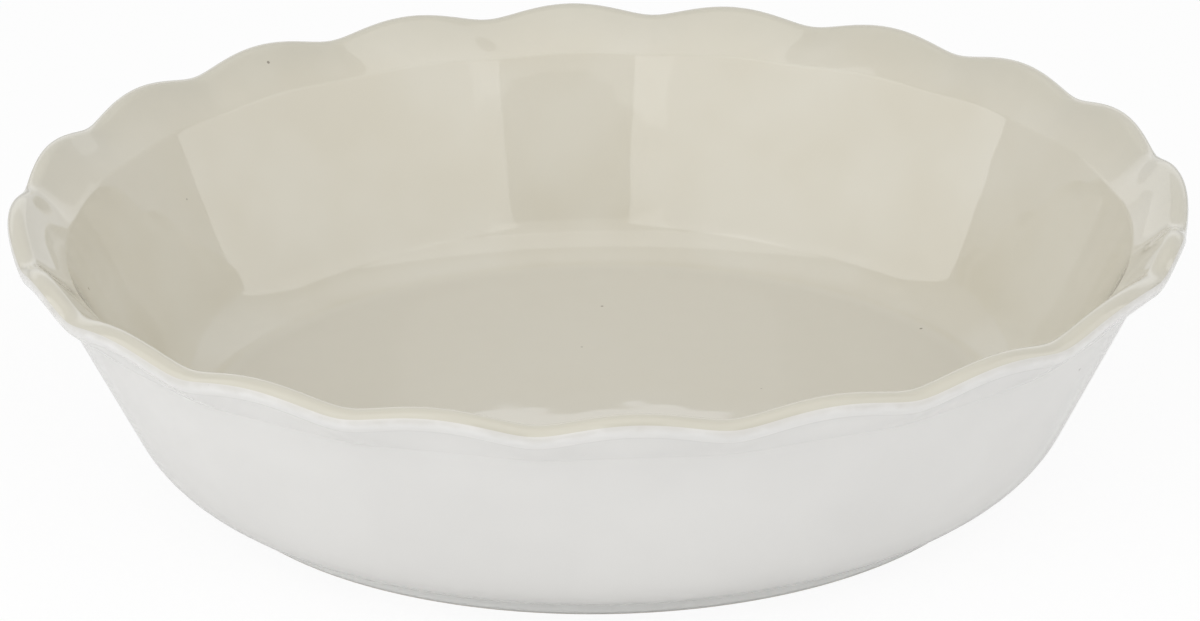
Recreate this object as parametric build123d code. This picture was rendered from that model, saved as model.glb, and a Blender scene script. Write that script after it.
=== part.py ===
from build123d import *
from math import acos, cos, degrees, pi, radians, sin, tan
import os

# A round stoneware pie dish with a flared rim and a ruffled lip, white outside and lined with a cream
# glass coat inside. The origin is on the table under the middle of the dish, +Z up, and a crest of the
# ruffle lies over +X. Lengths are in millimetres and angles in degrees, level being 0 in the section.

# The lip: a round bead on the edge of the flare, and the lobes that the ruffle makes of it
rim_radius = 127.0
rim_height = 57.6
lobe_count = 20
lobe_rise = 1.37
lobe_reach = 0.35

# The wall leans out from the bottom to the neck, where the flare turns further out to the lip
wall_thickness = 5.0
wall_lean = 25.9
flare_lean = 43.0
flare_width = 5.5
groove_depth = 0.8
groove_width = 1.4

# The bottom: the rounds inside and outside, the floor, and the foot ring with its recess
cove_radius = 15.0
knuckle_radius = 20.0
knuckle_height = 2.8
floor_thickness = 5.9
recess_height = 1.8
foot_reach = 3.6
foot_width = 5.0
foot_bevel = 0.8

# The cream coat thins out to nothing on the lip's outer shoulder, where the white begins
coat_thickness = 0.45
meeting_angle = 25.0

# Each round of the section is drawn as a few even bands, and each lobe of the ruffle through four points
cove_bands = 3
knuckle_bands = 3
shoulder_bands = 2
roll_bands = 2
lobe_points = 4

lip_radius = wall_thickness / 2
lip_middle = (rim_radius, rim_height)
floor_height = recess_height + floor_thickness
wall_slope = tan(radians(wall_lean))
flare_slope = tan(radians(flare_lean))


def polar(radius, angle):
    """A step of a given length at an angle in the section, as (out, up)."""
    return radius * cos(radians(angle)), radius * sin(radians(angle))


def beside(point, radius, angle, share=0.0):
    """The section line that lies a step away from a point."""
    out, up = polar(radius, angle)
    return point[0] + out, point[1] + up, share


def arc(middle, radius, first, last, bands, share=0.0):
    """Section lines round a middle, from one angle to another, as the edges of even bands."""
    return [beside(middle, radius, first + (last - first) * band / bands, share)
            for band in range(bands + 1)]


def halfway(start, end):
    """The section line between two others, which takes the mean of their shares of the ruffle."""
    return tuple((low + high) / 2 for low, high in zip(start, end))


# The outer corner of the neck, where the underside of the flare runs into the wall's outer face
under = beside(lip_middle, lip_radius, flare_lean - 90.0)
neck_radius = rim_radius - flare_width
neck_height = under[1] - (under[0] - neck_radius) * flare_slope
neck = (neck_radius, neck_height, 0.0)
meeting = beside(lip_middle, lip_radius, meeting_angle, 1.0)


def wall_radius(height, depth=0.0):
    """Radius at a height of the wall's outer face, or of the face that lies deeper in the wall."""
    return neck_radius + (height - neck_height) * wall_slope - depth / cos(radians(wall_lean))


def wall_round(height, radius, depth):
    """Middle of a round that touches the level at a height and the wall's face at a depth."""
    middle_height = height + radius
    return wall_radius(middle_height, depth + radius), middle_height


def flare_corner(depth):
    """The inside corner of the neck, at a depth under the surface of the wall and the flare."""
    out, up, _ = beside(lip_middle, lip_radius - depth, flare_lean + 90.0)
    wall_at_zero = wall_radius(0.0, wall_thickness - depth)
    height = (up - flare_slope * (out - wall_at_zero)) / (1.0 - flare_slope * wall_slope)
    return wall_radius(height, wall_thickness - depth), height, 0.0


# The foot ring stands on the start of the knuckle's round
knuckle = wall_round(knuckle_height, knuckle_radius, 0.0)
foot_radius = knuckle[0] + foot_reach


def inside_lines(depth):
    """From the floor's edge up the cove, wall and flare, over the lip, to just short of the meeting."""
    cove = wall_round(floor_height, cove_radius, wall_thickness)
    cove_lines = arc(cove, cove_radius + depth, 270.0, 360.0 - wall_lean, cove_bands)
    shoulder = arc(lip_middle, lip_radius - depth, flare_lean + 90.0, meeting_angle, shoulder_bands, 1.0)
    corner = flare_corner(depth)
    return cove_lines + [corner, halfway(corner, shoulder[0])] + shoulder[:-1]


def outside_lines():
    """From just past the meeting round the lip, down the underside and the wall, to the foot's face."""
    roll = arc(lip_middle, lip_radius, meeting_angle, flare_lean - 90.0, roll_bands, 1.0)[1:]
    groove = beside(neck, groove_depth, 180.0 - wall_lean)
    wall_top = beside(neck, groove_width, 270.0 - wall_lean)
    foot_angle = 360.0 - degrees(acos(foot_reach / knuckle_radius))
    knuckle_lines = arc(knuckle, knuckle_radius, 360.0 - wall_lean, foot_angle, knuckle_bands)
    foot_side = [(foot_radius, foot_bevel, 0.0), (foot_radius - foot_bevel, 0.0, 0.0)]
    return roll + [halfway(neck, roll[-1]), groove, wall_top] + knuckle_lines + foot_side


def ring(out, up, share):
    """A section line taken round the dish: a circle, or a closed curve with its share of the ruffle."""
    if share == 0:
        return Wire([Edge.make_circle(out, Plane.XY.offset(up))])
    count = lobe_count * lobe_points
    points = []
    for step in range(count):
        turn = 2 * pi * step / count
        wave = share * cos(lobe_count * turn)
        radius = out + lobe_reach * wave
        points.append((radius * cos(turn), radius * sin(turn), up + lobe_rise * wave))
    return Wire([Edge.make_spline(points, periodic=True)])


def turned(lines):
    """The solid whose surface runs through the lines in turn, closed by a level face at each end."""
    return Solid.make_loft([ring(*line) for line in lines], ruled=True)


def recess():
    """The space inside the foot ring, run out below the ring's face along its inner bevel."""
    inner = foot_radius - foot_width
    return turned([(inner + 2 * foot_bevel, -foot_bevel, 0.0), (inner, foot_bevel, 0.0),
                   (inner, recess_height, 0.0)])


def stoneware_body():
    """The fired clay with its white outside, set back under the cream coat by the coat's thickness."""
    return turned(inside_lines(coat_thickness) + [meeting] + outside_lines()) - recess()


def inner_glaze():
    """The cream coat on the floor, the wall, the flare and the top of the lip."""
    return turned(inside_lines(0.0) + [meeting] + inside_lines(coat_thickness)[::-1])


os.makedirs("parts", exist_ok=True)
for build in (stoneware_body, inner_glaze):
    export_step(build(), f"parts/{build.__name__}.step")
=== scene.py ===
from math import atan2, copysign, cos, hypot, pi, radians, remainder, sin, tan

import bmesh
import bpy
from mathutils import Matrix, Vector


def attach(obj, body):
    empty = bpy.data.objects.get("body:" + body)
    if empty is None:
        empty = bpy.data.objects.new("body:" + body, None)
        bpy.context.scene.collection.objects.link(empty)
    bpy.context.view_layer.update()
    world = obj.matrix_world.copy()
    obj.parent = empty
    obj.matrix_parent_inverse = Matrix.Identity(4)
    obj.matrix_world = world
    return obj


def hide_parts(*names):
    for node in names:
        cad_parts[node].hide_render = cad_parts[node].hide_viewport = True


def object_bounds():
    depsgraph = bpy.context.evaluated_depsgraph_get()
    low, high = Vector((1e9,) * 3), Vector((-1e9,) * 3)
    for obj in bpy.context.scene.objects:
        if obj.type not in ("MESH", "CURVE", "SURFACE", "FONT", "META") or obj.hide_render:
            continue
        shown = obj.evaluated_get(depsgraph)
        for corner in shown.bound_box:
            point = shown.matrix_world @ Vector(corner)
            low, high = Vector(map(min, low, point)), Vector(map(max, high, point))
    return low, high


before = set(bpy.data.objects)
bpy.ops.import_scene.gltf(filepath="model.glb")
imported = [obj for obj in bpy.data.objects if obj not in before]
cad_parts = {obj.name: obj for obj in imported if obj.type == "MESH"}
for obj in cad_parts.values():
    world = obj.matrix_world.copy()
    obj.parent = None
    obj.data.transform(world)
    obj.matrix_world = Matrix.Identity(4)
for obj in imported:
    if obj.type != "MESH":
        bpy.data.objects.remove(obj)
cad_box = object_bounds()

# The body is pressed from stoneware clay: a flat floor, a leaning wall, a flared rim whose round lip is
# pushed into twenty lobes, and a foot ring. The glass coats hide it, but for the band that it stands on.
# Sizes are in millimetres, and the angles of the section in degrees, level being 0 and down negative.
MM = 0.001
wall_thickness = 5.0
wall_angle = 64.1
flare_angle = 43.0
flare_width = 5.5
shoulder_round = 3.0

lip_radius = wall_thickness / 2
meeting_angle = 25.0
bead_turn = 6.0
bead_round = 3.0
groove_turn = 6.0
groove_reach = 0.5
groove_round = 1.5

cove_round = 15.0
knuckle_round = 20.0
knuckle_height = 2.8
knuckle_end = -80
floor_height = 7.7
recess_height = 1.8
foot_reach = 3.6
foot_width = 5.0
foot_bevel = 0.8
bevel_angle = -135
foot_corner_round = 0.3
foot_angle = -74
foot_edge_round = 0.4
bare_height = 0.15
wiped_height = 0.8

lobe_count = 20
shifted_troughs = {189: 3.2, 333: 2.8, 351: -3.0}
shifted_reach = 15.0
lobe_rise = 1.37
lobe_reach = 0.35
lobe_depth = 14.0
trough_round = 0.42
steps_a_lobe = 24
turn_a_piece = 6.0
smallest_round = 0.05
nearly_nothing = 0.001
sharp_edge = 35.0
coat_thickness = 0.45

rim_radius = cad_box[1][0] / MM - lip_radius - lobe_reach
rim_height = cad_box[1][2] / MM - lip_radius - lobe_rise
lip_middle = Vector((rim_radius, 0, rim_height))


def heading(angle):
    """The unit step at an angle in the section, which lies in the XZ plane."""
    return Vector((cos(radians(angle)), 0, sin(radians(angle))))


def crossing(first, first_angle, second, second_angle):
    """Where two lines of the section cross, each given by a point and an angle."""
    ahead = heading(first_angle)
    across = heading(second_angle + 90)
    return first + ahead * ((second - first).dot(across) / ahead.dot(across))


def deeper(point, angle, depth):
    """A point moved into the clay, which lies to the right of every line of the section."""
    return point + heading(angle - 90) * depth


def tangent(middle, radius, angle):
    """The line that touches a round at an angle from its middle, and runs clockwise past it."""
    return middle + heading(angle) * radius, angle - 90


def draw_to(path, end, goal, pieces=1):
    """Draws the section on in a straight line to a point, and returns the new end."""
    start, goal = end.co.copy(), Vector(goal)
    for piece in range(1, pieces + 1):
        end = bmesh.ops.extrude_vert_indiv(path, verts=[end])["verts"][0]
        end.co = start.lerp(goal, piece / pieces)
    return end


def draw_round(path, end, middle, turn):
    """Draws the section on round a middle, to the left where the turn is positive."""
    spun = bmesh.ops.spin(path, geom=[end], cent=middle, axis=(0, -1, 0), angle=radians(turn),
                          steps=max(2, round(abs(turn) / turn_a_piece)))
    return next(part for part in spun["geom_last"] if isinstance(part, bmesh.types.BMVert))


def draw_section(path, end, lines, depth):
    """Draws the section on along its lines and the rounds between them, at a depth under the surface.
    A line is its point, its angle, the radius of the round before it and the pieces of its straight."""
    for (point, angle, _, pieces), (next_point, next_angle, radius, _) in zip(lines, lines[1:]):
        turn = next_angle - angle
        radius = max(radius + copysign(depth, turn), smallest_round)
        corner = crossing(deeper(point, angle, depth), angle,
                          deeper(next_point, next_angle, depth), next_angle)
        start = corner - heading(angle) * radius * tan(radians(abs(turn) / 2))
        end = draw_to(path, end, start, pieces)
        end = draw_round(path, end, start + heading(angle + copysign(90, turn)) * radius, turn)
    return end


flare_under = lip_middle + heading(flare_angle - 90) * lip_radius
neck = crossing(flare_under, flare_angle, Vector((rim_radius - flare_width, 0, 0)), 90)

knuckle = crossing(deeper(neck, wall_angle, -knuckle_round), wall_angle,
                   Vector((0, 0, knuckle_height + knuckle_round)), 0)
foot_radius = knuckle.x + foot_reach
inner_foot_radius = foot_radius - foot_width

meeting = tangent(lip_middle, lip_radius, meeting_angle)
inside_lines = [
    (Vector((0, 0, floor_height)), 0, 0, 6),
    (deeper(neck, wall_angle, -wall_thickness), wall_angle, cove_round, 8),
    (lip_middle + heading(flare_angle + 90) * lip_radius, flare_angle, shoulder_round, 5),
    (*meeting, lip_radius, 1)]

bead_drop = (lip_radius + bead_round) * (1 - cos(radians(bead_turn)))
flare_back = flare_under + heading(flare_angle + 90) * bead_drop
neck_bend = crossing(flare_back, flare_angle, neck, wall_angle)
outside_lines = [
    (*meeting, 0, 1),
    (*tangent(lip_middle, lip_radius, flare_angle - 90 - bead_turn), lip_radius, 1),
    (flare_back, flare_angle - 180, bead_round, 5),
    (neck_bend + heading(flare_angle) * groove_reach, flare_angle - 180 - groove_turn, groove_round, 1),
    (neck_bend - heading(wall_angle) * groove_reach, wall_angle - 180 + groove_turn, groove_round, 1),
    (neck, wall_angle - 180, groove_round, 10),
    (*tangent(knuckle, knuckle_round, knuckle_end), knuckle_round, 1),
    (Vector((foot_radius, 0, foot_bevel)), foot_angle, foot_corner_round, 1),
    (Vector((foot_radius - foot_bevel, 0, 0)), bevel_angle, foot_edge_round, 1)]
coat_end = Vector((foot_radius - foot_bevel + bare_height, 0, bare_height))
coat_end_back = deeper(coat_end, bevel_angle, coat_thickness)


def turn_section(path):
    """Turns the section through one lobe and repeats that sector round the dish's axis."""
    bmesh.ops.remove_doubles(path, verts=path.verts, dist=nearly_nothing)
    sector = 2 * pi / lobe_count
    bmesh.ops.spin(path, geom=path.verts[:] + path.edges[:], cent=(0, 0, 0), axis=(0, 0, 1),
                   angle=sector, steps=steps_a_lobe)
    bmesh.ops.spin(path, geom=path.verts[:] + path.edges[:] + path.faces[:], cent=(0, 0, 0), axis=(0, 0, 1),
                   angle=2 * pi - sector, steps=lobe_count - 1, use_duplicate=True)
    bmesh.ops.remove_doubles(path, verts=path.verts, dist=nearly_nothing)
    bmesh.ops.recalc_face_normals(path, faces=path.faces)


def ruffle(bearing):
    """The ruffle's height at a bearing: 1 on the broad crests, -1 in the pinched troughs, a few of which
    the potter's thumb set off from their even places."""
    place = bearing
    for trough, shift in shifted_troughs.items():
        away = abs(remainder(bearing - radians(trough + shift), 2 * pi))
        place -= radians(shift) * max(0, 1 - away / radians(shifted_reach))
    rise = hypot(cos(lobe_count * place / 2), trough_round) - trough_round
    return 2 * rise / (hypot(1, trough_round) - trough_round) - 1


def push_lobes(mesh):
    """Pushes the lip into its lobes, less and less down the flare, and notes how far each point lies
    from the line on the lip where the two coats meet."""
    from_meeting = mesh.verts.layers.float.new("from_meeting")
    for vert in mesh.verts:
        out = hypot(vert.co.x, vert.co.y)
        vert[from_meeting] = hypot(out - meeting[0].x, vert.co.z - meeting[0].z)
        past_lip = (Vector((out, 0, vert.co.z)) - lip_middle).dot(heading(flare_angle))
        share = min(max(1 + past_lip / lobe_depth, 0), 1)
        if share > 0:
            wave = share * share * (3 - 2 * share) * ruffle(atan2(vert.co.y, vert.co.x))
            vert.co.x *= 1 + lobe_reach * wave / out
            vert.co.y *= 1 + lobe_reach * wave / out
            vert.co.z += lobe_rise * wave


def finish_piece(name, mesh, material, node):
    """Makes the mesh a piece of the dish in metres, with its finish and its place in the frame."""
    bmesh.ops.scale(mesh, vec=(MM, MM, MM), verts=mesh.verts)
    data = bpy.data.meshes.new(name)
    mesh.to_mesh(data)
    mesh.free()
    data.shade_smooth()
    data.set_sharp_from_angle(angle=radians(sharp_edge))
    data.materials.append(material)
    piece = bpy.data.objects.new(name, data)
    bpy.context.scene.collection.objects.link(piece)
    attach(piece, "root")
    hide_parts(node)


def linear(colour):
    """An sRGB hex colour as the linear red, green, blue and alpha that a socket takes."""
    parts = [int(colour[place:place + 2], 16) / 255 for place in (0, 2, 4)]
    return [part / 12.92 if part <= 0.04045 else ((part + 0.055) / 1.055) ** 2.4 for part in parts] + [1]


def add_node(tree, kind, inputs, **settings):
    """Adds a node with its settings, and gives each of its inputs a value or a link."""
    node = tree.nodes.new(kind)
    for name, value in settings.items():
        setattr(node, name, value)
    for socket, value in inputs.items():
        if isinstance(value, bpy.types.NodeSocket):
            tree.links.new(value, node.inputs[socket])
        else:
            node.inputs[socket].default_value = value
    return node


def new_material(name):
    """An empty material with its output, and the object's coordinates in millimetres."""
    material = bpy.data.materials.new(name)
    material.use_nodes = True
    tree = material.node_tree
    tree.nodes.clear()
    coordinates = add_node(tree, "ShaderNodeTexCoord", {})
    millimetres = add_node(tree, "ShaderNodeVectorMath", {0: coordinates.outputs["Object"], "Scale": 1 / MM},
                           operation="SCALE")
    return material, tree, millimetres.outputs[0]


# Fired stoneware, bare: a dry, matt, warm buff with a fine grain. The real grog is finer than the 0.6 mm
# that is drawn, which is about the least that shows.
grog_size = 0.6
clay, tree, spot = new_material("bare_fired_stoneware")
grog = add_node(tree, "ShaderNodeTexNoise", {"Vector": spot, "Scale": 1 / grog_size, "Detail": 3.0})
clay_colour = add_node(tree, "ShaderNodeMix", {"Factor": grog.outputs["Fac"], "A": linear("C9BBA4"),
                                               "B": linear("E2D8C6")}, data_type="RGBA")
grain = add_node(tree, "ShaderNodeBump", {"Height": grog.outputs["Fac"], "Strength": 0.5,
                                          "Distance": 0.05 * MM})
clay_shader = add_node(tree, "ShaderNodeBsdfPrincipled", {
    "Base Color": clay_colour.outputs["Result"], "Roughness": 0.85, "Normal": grain.outputs["Normal"]})
add_node(tree, "ShaderNodeOutputMaterial", {"Surface": clay_shader.outputs["BSDF"]})

body = bmesh.new()
section_end = body.verts.new((0, 0, floor_height - coat_thickness))
section_end = draw_section(body, section_end, inside_lines, coat_thickness)
section_end = draw_section(body, section_end, outside_lines, coat_thickness)
section_end = draw_to(body, section_end, coat_end_back)
section_end = draw_to(body, section_end, coat_end)
for out, up in ((foot_radius - foot_bevel, 0), (inner_foot_radius + foot_bevel, 0),
                (inner_foot_radius, foot_bevel), (inner_foot_radius, wiped_height),
                (inner_foot_radius + coat_thickness, wiped_height),
                (inner_foot_radius + coat_thickness, recess_height + coat_thickness),
                (0, recess_height + coat_thickness)):
    section_end = draw_to(body, section_end, (out, 0, up))
turn_section(body)
push_lobes(body)
finish_piece("stoneware_body", body, clay, "stoneware_body")


# The inside has a cream glass coat, poured in and out again, which ends in an uneven line on the lip's outer
# shoulder. Its colour is paler on the floor, partly where the coat lies deepest and partly as painted light
# on the floor's shade, and greyer over the flare, partly where the coat thins and partly as painted shade on
# the flare's extra light.
cloud_size = 30.0
widest_unevenness = 3.5
unevenness_size = 5.0
pool_and_painted_light_edge = 0.5
speck_spacing = 17.0
speck_core = 0.3
speck_edge = 0.45
ripple_size = 14.0
ripple_height = 0.08


def glaze(name, deep, pale, lip, lip_width, pool_and_painted_light, pool_and_painted_light_height):
    """A glossy glass coat over clay, with its colour where it lies deep and where it is paler. By the line
    on the lip it turns to a lip colour, partly where the coat thins and partly as painted shade; under a
    height it turns to a pool colour, partly where the coat has gathered and partly as painted light. To the
    eye it is wet and smooth, with faint clouds of tone, a few iron specks and a slow ripple in its shine."""
    material, tree, spot = new_material(name)
    drift = add_node(tree, "ShaderNodeTexNoise", {"Vector": spot, "Scale": 1 / cloud_size,
                                                  "Detail": 2.0})
    cloud = add_node(tree, "ShaderNodeMapRange", {"Value": drift.outputs["Fac"], "From Min": 0.35,
                                                  "From Max": 0.65})
    body_colour = add_node(tree, "ShaderNodeMix", {"Factor": cloud.outputs["Result"], "A": linear(deep),
                                                   "B": linear(pale)}, data_type="RGBA")
    wander = add_node(tree, "ShaderNodeTexNoise", {"Vector": spot, "Scale": 1 / unevenness_size,
                                                   "Detail": 2.0})
    distance = add_node(tree, "ShaderNodeAttribute", {}, attribute_name="from_meeting")
    unevenness = min(lip_width, widest_unevenness)
    uneven = add_node(tree, "ShaderNodeMath", {0: wander.outputs["Fac"], 1: unevenness,
                                               2: distance.outputs["Fac"]}, operation="MULTIPLY_ADD")
    # The lip colour over the lip and flare: partly the thin coat, partly painted shade
    lip_thin_and_shade_mask = add_node(tree, "ShaderNodeMapRange", {
        "Value": uneven.outputs["Value"], "From Min": unevenness / 2, "From Max": unevenness / 2 + lip_width,
        "To Min": 1.0, "To Max": 0.0}, interpolation_type="SMOOTHSTEP")
    colour = add_node(tree, "ShaderNodeMix", {"Factor": lip_thin_and_shade_mask.outputs["Result"],
                                              "A": body_colour.outputs[2], "B": linear(lip)},
                      data_type="RGBA")
    # The pool colour low down: painted light lifting the shaded floor and foot, in part a real gathered coat
    height = add_node(tree, "ShaderNodeSeparateXYZ", {0: spot})
    pooled_and_painted_light = add_node(tree, "ShaderNodeMapRange", {
        "Value": height.outputs["Z"], "From Min": pool_and_painted_light_height, "From Max": pool_and_painted_light_height + pool_and_painted_light_edge,
        "To Min": 1.0, "To Max": 0.0}, interpolation_type="SMOOTHSTEP")
    colour = add_node(tree, "ShaderNodeMix", {"Factor": pooled_and_painted_light.outputs["Result"], "A": colour.outputs[2],
                                              "B": linear(pool_and_painted_light)}, data_type="RGBA")
    scatter = add_node(tree, "ShaderNodeTexVoronoi", {"Vector": spot, "Scale": 1 / speck_spacing})
    speck = add_node(tree, "ShaderNodeMapRange", {
        "Value": scatter.outputs["Distance"], "From Min": speck_core / speck_spacing,
        "From Max": speck_edge / speck_spacing, "To Min": 0.7, "To Max": 0.0})
    colour = add_node(tree, "ShaderNodeMix", {"Factor": speck.outputs["Result"], "A": colour.outputs[2],
                                              "B": linear("6E665A")}, data_type="RGBA")
    ripple = add_node(tree, "ShaderNodeTexNoise", {"Vector": spot, "Scale": 1 / ripple_size,
                                                   "Detail": 1.0})
    skin = add_node(tree, "ShaderNodeBump", {"Height": ripple.outputs["Fac"], "Strength": 1.0,
                                             "Distance": ripple_height * MM})
    shader = add_node(tree, "ShaderNodeBsdfPrincipled", {
        "Base Color": colour.outputs[2], "Roughness": 0.03, "IOR": 1.5, "Normal": skin.outputs["Normal"]})
    add_node(tree, "ShaderNodeOutputMaterial", {"Surface": shader.outputs["BSDF"]})
    return material


# Cream glaze, fired glossy over buff clay: warm and soft, a little greyer over the lip and flare, partly
# where it is thin and partly as painted shade, and paler on the floor, partly where it lies deep and partly
# as painted light
cream_glaze = glaze("cream_glazed_stoneware", deep="C9C4B5", pale="CDC9BC", lip="C3BFB1", lip_width=14.0,
                    pool_and_painted_light="CDC9BD", pool_and_painted_light_height=7.8)
coat = bmesh.new()
surface_end = coat.verts.new((0, 0, floor_height))
back_end = coat.verts.new((0, 0, floor_height - coat_thickness))
surface_end = draw_section(coat, surface_end, inside_lines, 0)
back_end = draw_section(coat, back_end, inside_lines, coat_thickness)
draw_to(coat, surface_end, back_end.co)
turn_section(coat)
push_lobes(coat)
finish_piece("inner_glaze", coat, cream_glaze, "inner_glaze")


# The outside is dipped in a white glass coat, from the line where it meets the cream one down to just
# above the table. It thins over the lip. Round the foot it is painted whiter, as painted light on the shade
# under the knuckle.
# White glaze, fired glossy: a cool, even white, painted brightest round the foot as painted light
white_glaze = glaze("white_glazed_stoneware", deep="E1E0DE", pale="E4E3E1", lip="D2D0CB", lip_width=1.8,
                    pool_and_painted_light="FAFAF8", pool_and_painted_light_height=3.0)
coat = bmesh.new()
surface_end = coat.verts.new(meeting[0])
back_end = draw_to(coat, surface_end, deeper(*meeting, coat_thickness))
surface_end = draw_section(coat, surface_end, outside_lines, 0)
surface_end = draw_to(coat, surface_end, coat_end)
back_end = draw_section(coat, back_end, outside_lines, coat_thickness)
back_end = draw_to(coat, back_end, coat_end_back)
draw_to(coat, surface_end, back_end.co)
turn_section(coat)
push_lobes(coat)
finish_piece("outer_glaze", coat, white_glaze, "stoneware_body")


# The recess inside the foot ring has the same white coat, cut off from the rest when the ring's face is
# wiped clean before firing.
recess_round = 0.3
recess_pieces = 6
recess_lines = [
    (Vector((inner_foot_radius, 0, wiped_height)), 90, 0, 1),
    (Vector((0, 0, recess_height)), 180, recess_round, 1)]
coat = bmesh.new()
surface_end = coat.verts.new((inner_foot_radius, 0, wiped_height))
back_end = draw_to(coat, surface_end, (inner_foot_radius + coat_thickness, 0, wiped_height))
surface_end = draw_section(coat, surface_end, recess_lines, 0)
back_end = draw_section(coat, back_end, recess_lines, coat_thickness)
draw_to(coat, surface_end, (0, 0, recess_height), recess_pieces)
draw_to(coat, back_end, (0, 0, recess_height + coat_thickness), recess_pieces)
turn_section(coat)
push_lobes(coat)
finish_piece("base_glaze", coat, white_glaze, "stoneware_body")


# The dish stands on a matt white board in a white room. A wide soft box stands on each side of the camera,
# a small one leans over it, and others hang overhead and stand low at the back. The glaze shows them all.
board_reach = 4.0
board_whiteness = 0.92
mirrored_whiteness = 0.25
table_material = bpy.data.materials.new("white_painted_board")
table_material.use_nodes = True
tree = table_material.node_tree
tree.nodes.clear()
ray = add_node(tree, "ShaderNodeLightPath", {})
seen = add_node(tree, "ShaderNodeMath", {0: ray.outputs["Is Glossy Ray"], 1: mirrored_whiteness},
                operation="MULTIPLY")
seen = add_node(tree, "ShaderNodeMath", {0: seen.outputs[0], 1: ray.outputs["Is Camera Ray"]},
                operation="MAXIMUM")
seen = add_node(tree, "ShaderNodeMath", {0: seen.outputs[0], 1: ray.outputs["Is Transmission Ray"]},
                operation="MAXIMUM")
whitened = add_node(tree, "ShaderNodeMath", {0: seen.outputs[0], 1: board_whiteness}, operation="MULTIPLY")
board = add_node(tree, "ShaderNodeBsdfDiffuse", {"Color": linear("F2F2F1")})
backdrop = add_node(tree, "ShaderNodeEmission", {"Color": linear("FFFFFF"), "Strength": 1.0})
table_shader = add_node(tree, "ShaderNodeMixShader", {0: whitened.outputs[0], 1: board.outputs[0],
                                                      2: backdrop.outputs[0]})
add_node(tree, "ShaderNodeOutputMaterial", {"Surface": table_shader.outputs[0]})
table = bmesh.new()
bmesh.ops.create_grid(table, x_segments=1, y_segments=1, size=board_reach)
data = bpy.data.meshes.new("table")
table.to_mesh(data)
table.free()
data.materials.append(table_material)
table = bpy.data.objects.new("table", data)
bpy.context.scene.collection.objects.link(table)

room_brightness = 0.38
world = bpy.data.worlds.new("studio")
bpy.context.scene.world = world
world.use_nodes = True
tree = world.node_tree
tree.nodes.clear()
ray = add_node(tree, "ShaderNodeLightPath", {})
seen = add_node(tree, "ShaderNodeMath", {0: ray.outputs["Is Camera Ray"], 1: ray.outputs["Is Glossy Ray"]},
                operation="MAXIMUM")
seen = add_node(tree, "ShaderNodeMath", {0: seen.outputs[0], 1: ray.outputs["Is Transmission Ray"]},
                operation="MAXIMUM")
strength = add_node(tree, "ShaderNodeMapRange", {"Value": seen.outputs[0], "To Min": room_brightness,
                                                 "To Max": 1.0})
room = add_node(tree, "ShaderNodeBackground", {"Color": linear("FFFFFF"),
                                               "Strength": strength.outputs["Result"]})
add_node(tree, "ShaderNodeOutputWorld", {"Surface": room.outputs[0]})

# Each soft box: its bearing round the dish from the front and how far its face is turned up from straight
# down, in degrees, its middle's distance and height, its width and depth in metres, and how bright it is,
# white being 1
soft_boxes = {"left_box": (-61, 90, 0.70, 0.58, 1.60, 0.84, 1.4),
              "right_box": (65, 90, 0.775, 0.58, 1.44, 0.84, 1.12),
              "front_box": (4, 50, 0.65, 0.80, 0.75, 0.45, 0.6),
              "overhead_box": (0, 0, 0.30, 1.08, 1.60, 0.68, 0.95),
              "rear_top_box": (180, 0, 0.46, 1.08, 1.50, 0.52, 0.2),
              "rear_box": (180, 90, 1.00, 0.32, 1.80, 0.26, 0.3)}
for name, (bearing, tilt, distance, height, wide, deep, brightness) in soft_boxes.items():
    lamp = bpy.data.lights.new(name, "AREA")
    lamp.shape = "RECTANGLE"
    lamp.size = wide
    lamp.size_y = deep
    lamp.energy = brightness * pi * wide * deep
    box = bpy.data.objects.new(name, lamp)
    bpy.context.scene.collection.objects.link(box)
    box.visible_camera = False
    box.matrix_world = (Matrix.Rotation(radians(bearing), 4, "Z")
                        @ Matrix.Translation((0, -distance, height))
                        @ Matrix.Rotation(radians(tilt), 4, "X"))

# The camera looks slightly down at the dish from a little over a metre away. Its turn, dip and roll are
# in degrees, and its distance and height in metres.
camera_turn = -2.94
camera_dip = 21.9804
camera_roll = -0.6973
camera_distance = 1.0935
camera_height = 0.4738
camera_data = bpy.data.cameras.new("camera")
camera_data.lens = 159.05
camera_data.sensor_width = 36.0
camera = bpy.data.objects.new("camera", camera_data)
bpy.context.scene.collection.objects.link(camera)
camera.matrix_world = (Matrix.Rotation(radians(camera_turn), 4, "Z")
                       @ Matrix.Translation((0, -camera_distance, camera_height))
                       @ Matrix.Rotation(radians(90 - camera_dip), 4, "X")
                       @ Matrix.Rotation(radians(camera_roll), 4, "Z"))
bpy.context.scene.camera = camera
bpy.context.scene.view_settings.view_transform = "Standard"
